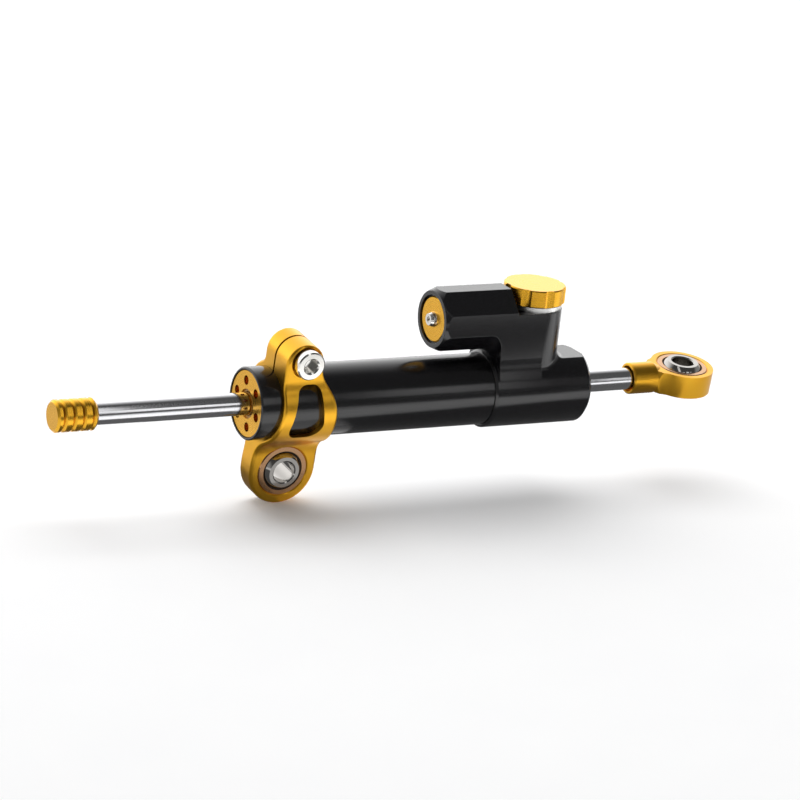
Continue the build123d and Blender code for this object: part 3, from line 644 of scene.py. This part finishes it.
# Matt card for the reflections. Its colour hardly counts, because the glow is what gloss shows.
def card_paint(name, code, glow):
    material, tree, shader = new_material(name)
    cloud = dapple(tree, size=0.01, detail=2.0)
    tone = add_node(tree, "ShaderNodeMix", {
        "Factor": cloud.outputs["Fac"], "A": linear(code), "B": linear("161616")}, data_type="RGBA")
    tree.links.new(tone.outputs["Result"], shader.inputs["Base Color"])
    shader.inputs["Roughness"].default_value = 0.9
    shader.inputs["Emission Color"].default_value = linear("FFFFFF")
    shader.inputs["Emission Strength"].default_value = glow
    return material


def card(name, columns, place, paint):
    """A card that only gloss shows. Each column has its front and its back corner.

    A corner below the floor is moved up to it, straight towards the rod's axis, so that the rod
    shows it in the same place.
    """
    level = lowest_along((0, 0, 1)) + CARD_LIFT
    bpy.ops.object.select_all(action="DESELECT")
    count = len(columns) - 1
    bpy.ops.mesh.primitive_grid_add(x_subdivisions=count, y_subdivisions=1, size=1)
    made = bpy.context.active_object
    made.name = name
    for vertex in made.data.vertices:
        front, back = columns[round((vertex.co.x + 0.5) * count)]
        corner = place @ Vector(back if vertex.co.y > 0 else front)
        if corner.z < level:
            corner = Vector((corner.x, corner.y * level / corner.z, level))
        vertex.co = corner
    made.data.materials.append(paint)
    made.visible_camera = False
    made.visible_diffuse = False
    made.visible_shadow = False


# Cards set out as a photographer does: dark ones under the damper for the dark lower edge of
# polished metal, a white one in front of them, and strip lights over the front.
def cards(stage, floor_place):
    """Lay the cards on a plane under the damper, and hang the bar and the strip lights."""
    paints = {
        "black_card": card_paint("black_card", "101010", stage.black_card),
        "grey_card": card_paint("grey_card", "101010", stage.grey_card),
        "dim_card": card_paint("dim_card", "101010", stage.front_card),
        "white_card": card_paint("white_card", "F4F4F4", stage.white_card),
        "strip_light": card_paint("strip_light", "F4F4F4", stage.strip)}
    for name, paint, edges in FLOOR_CARDS:
        columns = [((x, front, CARD_LIFT), (x, back, CARD_LIFT)) for x, front, back in edges]
        card(name, columns, floor_place, paints[paint])
    bar = [((x, BAR_Y, BAR_BOTTOM), (x, BAR_Y, BAR_TOP)) for x in BAR_ENDS]
    card("black_bar", bar, Matrix.Identity(4), paints["black_card"])
    for name, ends, low, high in STRIP_LIGHTS:
        lower, upper = [
            (-STRIP_REACH * math.cos(edge), STRIP_REACH * math.sin(edge)) for edge in (low, high)]
        columns = [((x, *lower), (x, *upper)) for x in ends]
        card(name, columns, Matrix.Identity(4), paints["strip_light"])


def soft_lamp(name, place, aim, width, height, power):
    """A rectangular soft lamp at a place, pointing at the aim."""
    data = bpy.data.lights.new(name, "AREA")
    data.shape = "RECTANGLE"
    data.size = width
    data.size_y = height
    data.energy = power
    lamp = bpy.data.objects.new(name, data)
    lamp.location = place
    lamp.rotation_euler = (Vector(aim) - Vector(place)).to_track_quat("-Z", "Y").to_euler()
    lamp.visible_glossy = False
    bpy.context.collection.objects.link(lamp)


class DAMPER_OT_stage(bpy.types.Operator):
    """Lay the floor, set out the cards and light the damper softly from behind and above"""

    bl_idname = "damper.stage"
    bl_label = "Studio"

    def execute(self, context):
        stage = context.scene.damper_stage
        middle = (cad_box[0].x + cad_box[1].x) / 2
        bpy.ops.object.select_all(action="DESELECT")
        bpy.ops.mesh.primitive_plane_add(size=FLOOR_SIZE)
        floor = context.active_object
        floor.name = "floor"
        for vertex in floor.data.vertices:
            vertex.co += Vector((middle, 0, lowest_along((0, 0, 1))))
        floor.data.materials.append(floor_paint(stage))
        normal = Vector((-math.sin(stage.slope), 0, math.cos(stage.slope)))
        turn = Matrix.Rotation(-stage.slope, 4, "Y")
        cards(stage, Matrix.Translation(normal * lowest_along(normal)) @ turn)
        studio_walls(stage)
        context.scene.view_settings.view_transform = "Standard"
        aim = (middle, 0, 0)
        soft_lamp("softbox_back", SOFTBOX_PLACE, aim, SOFTBOX_WIDTH, SOFTBOX_HEIGHT, stage.softbox)
        return {"FINISHED"}


class DAMPER_PT_panel(bpy.types.Panel):
    """Lists the damper's operators and settings"""

    bl_idname = "DAMPER_PT_panel"
    bl_label = "Steering Damper"
    bl_space_type = "VIEW_3D"
    bl_region_type = "UI"
    bl_category = "Damper"

    def draw(self, context):
        for step in STEPS:
            self.layout.operator(step.bl_idname)
        for group, settings in SETTINGS.items():
            box = self.layout.box()
            for name in settings.__annotations__:
                box.prop(getattr(context.scene, group), name)


SETTINGS = {
    "damper_finishes": DamperFinishes, "damper_camera": DamperCamera, "damper_stage": DamperStage}
STEPS = (
    DAMPER_OT_barrel, DAMPER_OT_turned_gold, DAMPER_OT_blasted_gold, DAMPER_OT_rod,
    DAMPER_OT_bearings, DAMPER_OT_screws, DAMPER_OT_inside, DAMPER_OT_camera, DAMPER_OT_stage)


def register():
    for group, settings in SETTINGS.items():
        bpy.utils.register_class(settings)
        setattr(bpy.types.Scene, group, bpy.props.PointerProperty(type=settings))
    for step in STEPS:
        bpy.utils.register_class(step)
    bpy.utils.register_class(DAMPER_PT_panel)


def unregister():
    bpy.utils.unregister_class(DAMPER_PT_panel)
    for step in reversed(STEPS):
        bpy.utils.unregister_class(step)
    for group, settings in SETTINGS.items():
        delattr(bpy.types.Scene, group)
        bpy.utils.unregister_class(settings)


def main():
    register()
    bpy.ops.damper.barrel()
    bpy.ops.damper.turned_gold()
    bpy.ops.damper.blasted_gold()
    bpy.ops.damper.rod()
    bpy.ops.damper.bearings()
    bpy.ops.damper.screws()
    bpy.ops.damper.inside()
    bpy.ops.damper.camera()
    bpy.ops.damper.stage()


if __name__ == "__main__":
    main()
